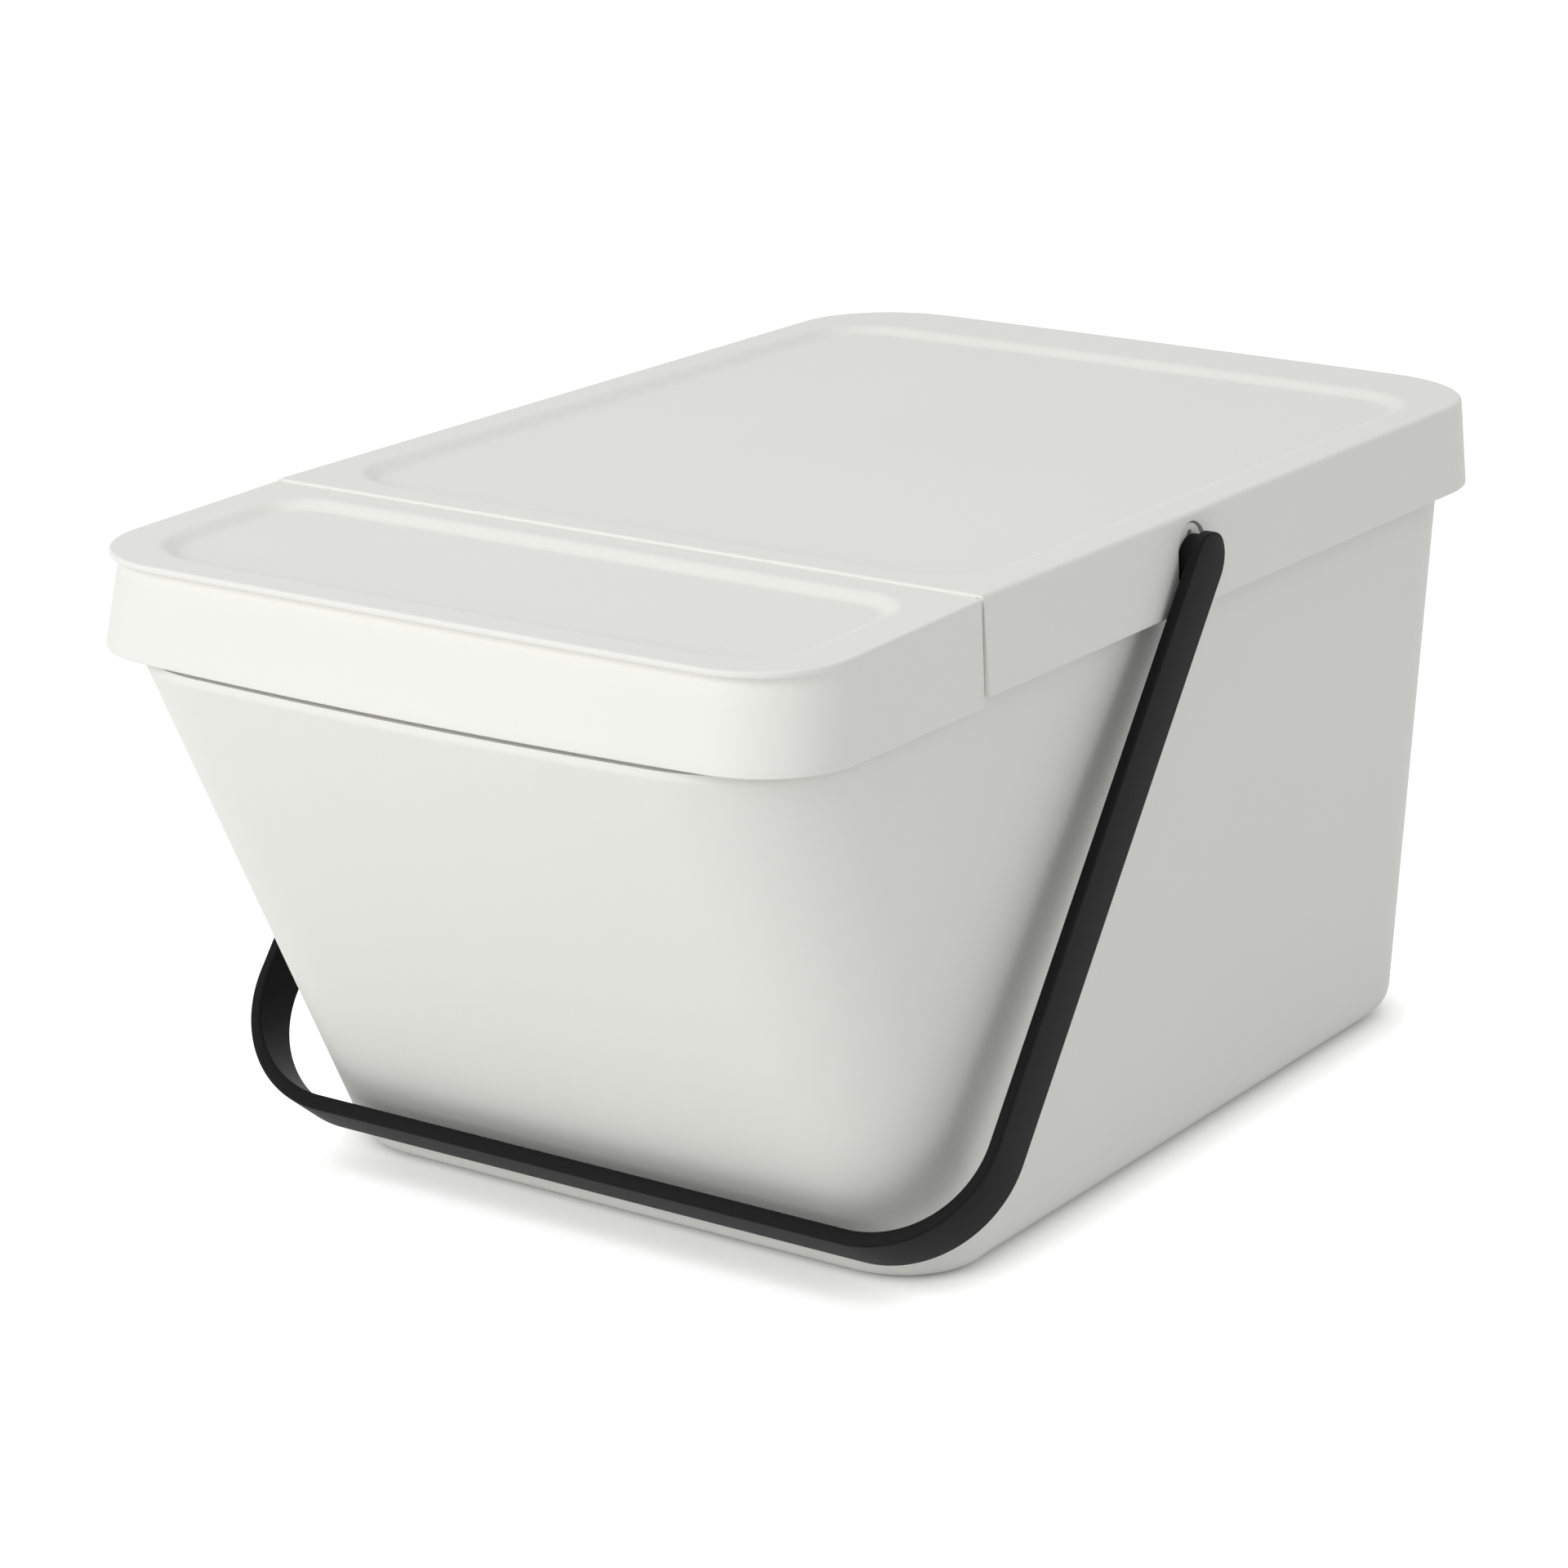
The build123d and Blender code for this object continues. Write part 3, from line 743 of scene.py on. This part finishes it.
def keyhole(handle):
    """The outline of a round bore with an upright slot above it."""
    radius = handle.pin_radius + handle.pin_clearance
    half = handle.slot_width / 2
    meet = math.asin(half / radius)
    turn = np.linspace(math.pi / 2 - meet, -1.5 * math.pi + meet, BORE_POINTS)
    bore = np.column_stack([radius * np.cos(turn), radius * np.sin(turn)])
    turn = np.linspace(math.pi, 0, SLOT_POINTS)
    crown = np.column_stack([half * np.cos(turn), handle.slot_top - half + half * np.sin(turn)])
    return np.concatenate([bore, crown]) + [handle.pivot_y, handle.pivot_z]


def lug_places(scene):
    """Places along X of the bucket's wall, the lug's face, the arm and the key."""
    lid, bucket, handle = scene.bin_lid, scene.bin_bucket, scene.bin_handle
    share_back = (handle.pivot_y - bucket.band_front_y) / (
        bucket.band_rear_y - bucket.band_front_y)
    wall_x = bucket.band_half_front + share_back * (
        bucket.band_half_rear - bucket.band_half_front)
    face_x = half_at(lid, handle.pivot_y) - handle.lug_sink
    return {
        "wall_x": wall_x,
        "face_x": face_x,
        "arm_x": face_x + handle.lug_sink + lid.side_flare + handle.arm_clearance,
        "key_x": wall_x - bucket.wall - handle.key_play - handle.key_thickness,
    }


def add_node(tree, kind, **settings):
    """A node with its settings and with plain values on its inputs."""
    node = tree.nodes.new(kind)
    for name, value in settings.items():
        if name == "inputs":
            for key, given in value.items():
                if isinstance(given, bpy.types.NodeSocket):
                    tree.links.new(given, node.inputs[key])
                else:
                    node.inputs[key].default_value = given
        else:
            setattr(node, name, value)
    return node


def vector_math(tree, operation, first, second=None, factor=None):
    """A vector maths node; its result is its first output, or its value."""
    node = add_node(tree, "ShaderNodeVectorMath", operation=operation)
    for place, given in ((0, first), (1, second), ("Scale", factor)):
        if isinstance(given, bpy.types.NodeSocket):
            tree.links.new(given, node.inputs[place])
        elif given is not None:
            node.inputs[place].default_value = given
    return node.outputs["Value" if operation == "DOT_PRODUCT" else "Vector"]


def number_math(tree, operation, first, second=0.0):
    """A maths node's result."""
    return add_node(tree, "ShaderNodeMath", operation=operation,
                    inputs={0: first, 1: second}).outputs[0]


def spread(tree, noise, half, low, high):
    """The middle of a noise, half to each side of 0.5, spread from low to high."""
    return add_node(tree, "ShaderNodeMapRange",
                    inputs={"Value": noise, "From Min": 0.5 - half, "From Max": 0.5 + half,
                            "To Min": low, "To Max": high}).outputs[0]


def strap_tree():
    """Geometry nodes that sweep the strap's rounded section along the handle's path."""
    tree = bpy.data.node_groups.new("handle_strap", "GeometryNodeTree")
    face = tree.interface
    face.new_socket("Path", in_out="INPUT", socket_type="NodeSocketGeometry")
    for name in ("Strap Width", "Arm Thickness", "Bar Thickness", "Edge Round"):
        socket = face.new_socket(name, in_out="INPUT", socket_type="NodeSocketFloat")
        socket.subtype = "DISTANCE"
    face.new_socket("Across", in_out="INPUT", socket_type="NodeSocketVector")
    face.new_socket("Finish", in_out="INPUT", socket_type="NodeSocketMaterial")
    face.new_socket("Strap", in_out="OUTPUT", socket_type="NodeSocketGeometry")
    given = tree.nodes.new("NodeGroupInput").outputs

    def stored(geometry, name, value):
        return add_node(tree, "GeometryNodeStoreNamedAttribute", data_type="FLOAT_VECTOR",
                        domain="POINT",
                        inputs={"Geometry": geometry, "Name": name, "Value": value}).outputs[0]

    def named(name, kind):
        return add_node(tree, "GeometryNodeInputNamedAttribute", data_type=kind,
                        inputs={"Name": name}).outputs["Attribute"]

    place = tree.nodes.new("GeometryNodeInputPosition").outputs[0]
    path = add_node(tree, "GeometryNodeMeshToCurve", inputs={"Mesh": given["Path"]}).outputs[0]
    path = stored(path, "centre", place)
    path = add_node(tree, "GeometryNodeSetCurveNormal", mode="FREE",
                    inputs={"Curve": path, "Normal": named("inside", "FLOAT_VECTOR")}).outputs[0]
    section = add_node(tree, "GeometryNodeCurvePrimitiveQuadrilateral", mode="RECTANGLE",
                       inputs={"Width": given["Arm Thickness"], "Height": given["Strap Width"]})
    section = add_node(tree, "GeometryNodeFilletCurve", mode="POLY",
                       inputs={"Curve": section.outputs[0], "Count": ROUND_STEPS,
                               "Radius": given["Edge Round"], "Limit Radius": True}).outputs[0]
    swept = add_node(tree, "GeometryNodeCurveToMesh",
                     inputs={"Curve": path, "Profile Curve": section, "Fill Caps": True}).outputs[0]

    # Split each point's place into its parts across the strap and through it
    centre = named("centre", "FLOAT_VECTOR")
    offset = vector_math(tree, "SUBTRACT", place, centre)
    across = vector_math(tree, "DOT_PRODUCT", offset, given["Across"])
    wide = vector_math(tree, "SCALE", given["Across"], factor=across)
    through = vector_math(tree, "SUBTRACT", offset, wide)
    narrowed = vector_math(tree, "SCALE", wide, factor=named("end_share", "FLOAT"))
    # The bar is thicker than the arms, and grows on the inside
    growth = number_math(tree, "SUBTRACT", given["Bar Thickness"], given["Arm Thickness"])
    growth = number_math(tree, "DIVIDE", growth, given["Arm Thickness"])
    growth = number_math(tree, "MULTIPLY", growth, 2.0)
    growth = number_math(tree, "MULTIPLY", growth, named("bar_share", "FLOAT"))
    inwards = vector_math(tree, "DOT_PRODUCT", through, named("inside", "FLOAT_VECTOR"))
    growth = number_math(tree, "MULTIPLY", growth, number_math(tree, "GREATER_THAN", inwards, 0.0))
    thick = vector_math(tree, "SCALE", through, factor=number_math(tree, "ADD", growth, 1.0))
    target = vector_math(tree, "ADD", vector_math(tree, "ADD", centre, narrowed), thick)
    moved = add_node(tree, "GeometryNodeSetPosition",
                     inputs={"Geometry": swept, "Position": target}).outputs[0]
    solid = add_node(tree, "GeometryNodeRealizeInstances", inputs={"Geometry": moved}).outputs[0]
    painted = add_node(tree, "GeometryNodeSetMaterial",
                       inputs={"Geometry": solid, "Material": given["Finish"]}).outputs[0]
    end = tree.nodes.new("NodeGroupOutput")
    tree.links.new(painted, end.inputs["Strap"])
    return tree


def strap_path(handle, arm_x):
    """The strap's middle line in the bail's plane, with its end, bar and inside values."""
    slope = handle.splay / handle.reach
    half = handle.width / 2
    outer_x = arm_x + handle.arm
    lean = math.atan(slope)
    inset = handle.arm / 2
    line_x = outer_x - inset / math.cos(lean)
    low = -handle.reach + inset
    radius = handle.corner_radius - inset
    # The corner's centre is one radius inside both the arm's line and the bar's
    corner_v = low + radius
    corner_x = line_x - slope * corner_v - radius / math.cos(lean)
    turn = np.linspace(-lean, math.pi / 2, STRAP_POINTS["corner"])
    arc = np.column_stack([corner_x + radius * np.cos(turn), corner_v - radius * np.sin(turn)])
    end_turn = np.linspace(math.pi / 2 - BLUNT_END, 0, STRAP_POINTS["end"])
    v_end = half * np.sin(end_turn)
    v_arm = np.linspace(0, arc[0, 1], STRAP_POINTS["arm"])[1:-1]
    v = np.concatenate([v_end, v_arm])
    arm = np.column_stack([line_x - slope * v, v])
    bar_x = np.linspace(arc[-1, 0], 0, STRAP_POINTS["bar"])[1:]
    bar = np.column_stack([bar_x, np.full(len(bar_x), low)])
    right = np.concatenate([arm, arc, bar])
    path = np.concatenate([right, right[-2::-1] * [-1, 1]])
    end = np.ones(len(right))
    end[: len(v_end)] = np.cos(end_turn)
    grown = np.zeros(len(right))
    grown[len(arm): len(arm) + len(arc)] = soft_step(np.linspace(0, 1, len(arc)))
    grown[len(arm) + len(arc):] = 1.0
    inside = np.gradient(path, axis=0)
    inside = np.column_stack([inside[:, 1], -inside[:, 0]])
    inside /= np.linalg.norm(inside, axis=1)[:, None]
    if inside[len(path) // 2, 1] < 0:
        inside = -inside
    return (path, np.concatenate([end, end[-2::-1]]), np.concatenate([grown, grown[-2::-1]]),
            inside)


def swept_strap(context, handle, arm_x, upward, forward, finish):
    """The strap as a baked sweep, and none of the values that steered it."""
    pivot = [0.0, handle.pivot_y, handle.pivot_z]
    path, end, bar, inside = strap_path(handle, arm_x)

    def placed(flat):
        return np.outer(flat[:, 0], [1.0, 0.0, 0.0]) + np.outer(flat[:, 1], upward)

    mesh = bpy.data.meshes.new("handle_path")
    mesh.from_pydata([tuple(p) for p in placed(path) + pivot],
                     [(i, i + 1) for i in range(len(path) - 1)], [])
    mesh.attributes.new("end_share", "FLOAT", "POINT").data.foreach_set("value", end)
    mesh.attributes.new("bar_share", "FLOAT", "POINT").data.foreach_set("value", bar)
    mesh.attributes.new("inside", "FLOAT_VECTOR", "POINT").data.foreach_set(
        "vector", placed(inside).ravel())
    strap = add_object("carry_handle_moulding", mesh)
    sweep = strap.modifiers.new("strap", "NODES")
    sweep.node_group = strap_tree()
    values = {"Strap Width": handle.width, "Arm Thickness": handle.arm,
              "Bar Thickness": handle.bar, "Edge Round": handle.edge_round,
              "Across": tuple(forward), "Finish": finish}
    for item in sweep.node_group.interface.items_tree:
        if item.in_out == "INPUT" and item.name in values:
            sweep[item.identifier] = values[item.name]
    strap.data = bpy.data.meshes.new_from_object(
        strap.evaluated_get(context.evaluated_depsgraph_get()))
    strap.modifiers.remove(sweep)
    bpy.data.meshes.remove(mesh)
    if not len(strap.data.polygons):
        raise RuntimeError("the handle's strap came out empty")
    for name in ("end_share", "bar_share", "inside", "centre"):
        strap.data.attributes.remove(strap.data.attributes[name])
    edit_mesh(strap.data, merge_points, face_outwards)
    return strap


def boss(handle, side, sign):
    """The round boss between arm and lug, with the pin on its inner side."""
    start = side["face_x"] + handle.boss_play
    pin, wide = handle.pin_radius, handle.boss_radius
    tip = side["key_x"] - PIN_CHAMFER / 3
    profile = [(tip, pin - PIN_CHAMFER), (tip + PIN_CHAMFER, pin), (start, pin),
               (start, wide - BOSS_ROUND), (start + BOSS_ROUND / 3, wide - BOSS_ROUND / 3),
               (start + BOSS_ROUND, wide), (side["arm_x"] + handle.arm / 2, wide)]
    turn = np.linspace(0, 2 * math.pi, BOSS_POINTS + 1)[:-1]
    circle = np.column_stack([np.cos(turn), np.sin(turn)])
    rings = [upright([handle.pivot_y, handle.pivot_z] + circle * radius, sign * x)
             for x, radius in profile]
    return mesh_from_rings("handle_boss", rings)


def pin_key(handle, side, sign, upward, forward):
    """The bayonet key on the pin's inner end."""
    half = handle.key_width / 2
    corners = [[handle.pivot_y, handle.pivot_z] + forward[1:] * a + upward[1:] * b
               for a, b in ((0, -half), (handle.key_reach, -half), (handle.key_reach, half),
                            (0, half))]
    return prism("key", np.array(corners), sign * side["key_x"],
                 sign * (side["key_x"] + handle.key_thickness))


class BIN_OT_carry_handle(bpy.types.Operator):
    """Build the carry handle: a swept strap with its bosses, pins and keys"""

    bl_idname = "bin.carry_handle"
    bl_label = "Carry Handle"

    def execute(self, context):
        scene = context.scene
        handle = scene.bin_handle
        side = lug_places(scene)
        finish = handle_plastic(scene)
        upward = np.array([0.0, math.sin(handle.tilt), math.cos(handle.tilt)])
        forward = np.array([0.0, -math.cos(handle.tilt), math.sin(handle.tilt)])
        strap = swept_strap(context, handle, side["arm_x"], upward, forward, finish)
        for sign in (-1, 1):
            combine(strap, boss(handle, side, sign), "UNION")
            combine(strap, pin_key(handle, side, sign, upward, forward), "UNION")
        finish_piece(strap, "carry_handle", "handle", finish)
        return {"FINISHED"}


def moulded_plastic(name, colour, roughness, grain, bump, mottle, specular):
    """A matte moulding: fine grain, faint flow marks and softly varied gloss.

    The pieces share it, so it is made once, under a name the frame doesn't hold.
    """
    made = bpy.data.materials.get(name)
    if made:
        return made
    material = bpy.data.materials.new(name)
    material.use_nodes = True
    tree = material.node_tree
    shader = tree.nodes["Principled BSDF"]
    place = tree.nodes.new("ShaderNodeTexCoord").outputs["Object"]
    fine = add_node(tree, "ShaderNodeTexNoise",
                    inputs={"Vector": place, "Scale": 1 / grain, "Detail": 3.0,
                            "Roughness": 0.55}).outputs[0]
    broad = add_node(tree, "ShaderNodeTexNoise",
                     inputs={"Vector": place, "Scale": 9.0, "Detail": 2.0}).outputs[0]
    cells = add_node(tree, "ShaderNodeTexVoronoi", feature="SMOOTH_F1",
                     inputs={"Vector": place, "Scale": 0.6 / grain}).outputs["Distance"]
    shade = spread(tree, broad, 0.2, 1 - mottle, 1 + mottle)
    specks = spread(tree, fine, 0.2, 1 - mottle / 2, 1 + mottle / 2)
    shade = number_math(tree, "MULTIPLY", shade, specks)
    tinted = vector_math(tree, "SCALE", tuple(colour)[:3], factor=shade)
    tree.links.new(tinted, shader.inputs["Base Color"])
    gloss = spread(tree, fine, 0.25, roughness - 0.05, roughness + 0.06)
    tree.links.new(gloss, shader.inputs["Roughness"])
    height = number_math(tree, "ADD", number_math(tree, "MULTIPLY", cells, 0.5), fine)
    relief = add_node(tree, "ShaderNodeBump",
                      inputs={"Height": height, "Strength": bump, "Distance": grain * 0.06})
    tree.links.new(relief.outputs[0], shader.inputs["Normal"])
    shader.inputs["IOR"].default_value = 1.49
    shader.inputs["Specular IOR Level"].default_value = specular
    material.diffuse_color = colour
    return material


def bin_plastic(scene):
    """The bin's warm white moulded plastic."""
    looks = scene.bin_finishes
    return moulded_plastic("bin_moulded", looks.bin_colour, looks.bin_roughness,
                           looks.bin_grain, bump=0.35, mottle=0.006, specular=0.5)


def handle_plastic(scene):
    """The handle's satin near-black plastic."""
    looks = scene.bin_finishes
    return moulded_plastic("handle_moulded", looks.handle_colour, looks.handle_roughness,
                           looks.handle_grain, bump=0.4, mottle=0.05, specular=0.05)


class StageSettings(bpy.types.PropertyGroup):
    """Camera, lamps and backdrop."""

    camera_x: length("Camera X", "Place of the camera across the bin", 0.7550)
    camera_y: length("Camera Y", "Place of the camera along the bin", -1.2090)
    camera_z: length("Camera Z", "Height of the camera", 0.5469)
    lens: FloatProperty(name="Lens", description="Focal length on a 36 mm sensor",
                        default=104.12, unit="CAMERA")
    daylight: share("Daylight", "Strength of the even light all round", 0.5)
    # The paper's glow, and how far from the bin its painted contact shadow reaches
    paper_lift: share("Paper lift", "Light added to the open floor", 0.7)
    shade_reach: length("Shade reach", "How far from the bin the floor darkens", 0.018)
    key: FloatProperty(name="Key lamp", description="Power of the large lamp in front",
                       default=20.0, unit="POWER")
    side: FloatProperty(name="Side lamp", description="Power of the lamp on the right",
                        default=3.2, unit="POWER")
    top: FloatProperty(name="Top lamp", description="Power of the lamp above",
                       default=8.0, unit="POWER")


LAMP_TARGET = (0.0, 0.0, 0.1)
FLOOR_REACH = 6
# The camera's right, its up and the way it looks, as fitted to the photograph
CAMERA_AXES = ((0.8409015, 0.5411103, 0.0091797), (-0.1656009, 0.2411262, 0.9562607),
               (-0.5152291, 0.8056412, -0.2923717))


def area_lamp(name, place, size, power):
    """A square area lamp that faces the middle of the bin."""
    data = bpy.data.lights.new(name, "AREA")
    data.shape = "SQUARE"
    data.size = size
    data.energy = power
    lamp = add_object(name, data)
    lamp.location = place
    aim = Vector(LAMP_TARGET) - Vector(place)
    lamp.rotation_euler = aim.to_track_quat("-Z", "Y").to_euler()


def seen_rays(tree):
    """1 for rays that show the background itself: camera, glossy and see-through rays."""
    rays = tree.nodes.new("ShaderNodeLightPath").outputs
    seen = number_math(tree, "MAXIMUM", rays["Is Camera Ray"], rays["Is Glossy Ray"])
    return number_math(tree, "MAXIMUM", seen, rays["Is Transmission Ray"])


def floor_paper(stage):
    """White paper whose added glow keeps it white where it is open; close to the bin an occlusion
    node dims that glow, a painted contact shadow.
    """
    paper = bpy.data.materials.new("floor_paper")
    paper.use_nodes = True
    tree = paper.node_tree
    tree.nodes.clear()
    matt = add_node(tree, "ShaderNodeBsdfDiffuse", inputs={"Color": (0.8, 0.8, 0.8, 1)})
    # Painted contact shadow: this occlusion dims the floor's glow close to the bin
    corner = add_node(tree, "ShaderNodeAmbientOcclusion", samples=16,
                      inputs={"Distance": stage.shade_reach}).outputs["AO"]
    lift = number_math(tree, "MULTIPLY", seen_rays(tree), stage.paper_lift)
    lift = number_math(tree, "MULTIPLY", lift, corner)
    glow = add_node(tree, "ShaderNodeEmission", inputs={"Strength": lift})
    total = add_node(tree, "ShaderNodeAddShader",
                     inputs={0: matt.outputs[0], 1: glow.outputs[0]})
    add_node(tree, "ShaderNodeOutputMaterial", inputs={"Surface": total.outputs[0]})
    return paper


def studio_light(stage):
    """Even daylight all round, which looks white itself."""
    world = bpy.data.worlds.new("studio")
    world.use_nodes = True
    tree = world.node_tree
    tree.nodes.clear()
    lift = number_math(tree, "MULTIPLY", seen_rays(tree), 1 - stage.daylight)
    strength = number_math(tree, "ADD", lift, stage.daylight)
    sky = add_node(tree, "ShaderNodeBackground",
                   inputs={"Color": (1.0, 1.0, 1.0, 1.0), "Strength": strength})
    add_node(tree, "ShaderNodeOutputWorld", inputs={"Surface": sky.outputs[0]})
    return world


def photo_camera(stage):
    """The camera at the photograph's place and angle."""
    data = bpy.data.cameras.new("camera")
    data.sensor_width = 36.0
    data.lens = stage.lens
    camera = add_object("camera", data)
    right, up, forward = (Vector(axis) for axis in CAMERA_AXES)
    turned = Matrix((right, up, -forward)).transposed().to_4x4()
    camera.matrix_world = Matrix.Translation(
        (stage.camera_x, stage.camera_y, stage.camera_z)) @ turned
    return camera


class BIN_OT_stage(bpy.types.Operator):
    """Build the pale floor, the soft lamps and the camera"""

    bl_idname = "bin.stage"
    bl_label = "Stage"

    def execute(self, context):
        scene = context.scene
        stage = scene.bin_stage
        far = FLOOR_REACH
        mesh = bpy.data.meshes.new("floor")
        mesh.from_pydata([(-far, -far, 0), (far, -far, 0), (far, far, 0), (-far, far, 0)], [],
                         [(0, 1, 2, 3)])
        mesh.materials.append(floor_paper(stage))
        floor = add_object("floor", mesh)
        scene.world = studio_light(stage)
        area_lamp("key_lamp", (-0.5, -2.0, 0.9), 1.2, stage.key)
        area_lamp("side_lamp", (2.0, -0.2, 0.5), 0.9, stage.side)
        area_lamp("top_lamp", (-0.2, 0.3, 2.2), 1.4, stage.top)
        scene.camera = photo_camera(stage)
        scene.view_settings.view_transform = "Standard"
        return {"FINISHED"}


class BIN_PT_sidebar(bpy.types.Panel):
    """The bin's pieces in the 3D view's sidebar"""

    bl_label = "Kitchen Bin"
    bl_idname = "BIN_PT_sidebar"
    bl_space_type = "VIEW_3D"
    bl_region_type = "UI"
    bl_category = "Bin"

    def draw(self, context):
        for step in STEPS:
            self.layout.operator(step.bl_idname)


STEPS = (BIN_OT_bucket, BIN_OT_rear_lid, BIN_OT_front_flap, BIN_OT_carry_handle, BIN_OT_stage)
SETTINGS = {
    "bin_lid": LidSizes,
    "bin_flap": FlapSizes,
    "bin_bucket": BucketSizes,
    "bin_handle": HandleSizes,
    "bin_finishes": Finishes,
    "bin_stage": StageSettings,
}


def register():
    """Registers the classes and puts the settings on the scene."""
    for group in (*SETTINGS.values(), *STEPS, BIN_PT_sidebar):
        bpy.utils.register_class(group)
    for name, group in SETTINGS.items():
        setattr(bpy.types.Scene, name, PointerProperty(type=group))


def unregister():
    """Takes the settings and the classes out again."""
    for name in SETTINGS:
        delattr(bpy.types.Scene, name)
    for group in (BIN_PT_sidebar, *STEPS, *SETTINGS.values()):
        bpy.utils.unregister_class(group)


def main():
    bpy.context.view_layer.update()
    register()
    bpy.ops.bin.bucket()
    bpy.ops.bin.rear_lid()
    bpy.ops.bin.front_flap()
    bpy.ops.bin.carry_handle()
    bpy.ops.bin.stage()


if __name__ == "__main__":
    main()
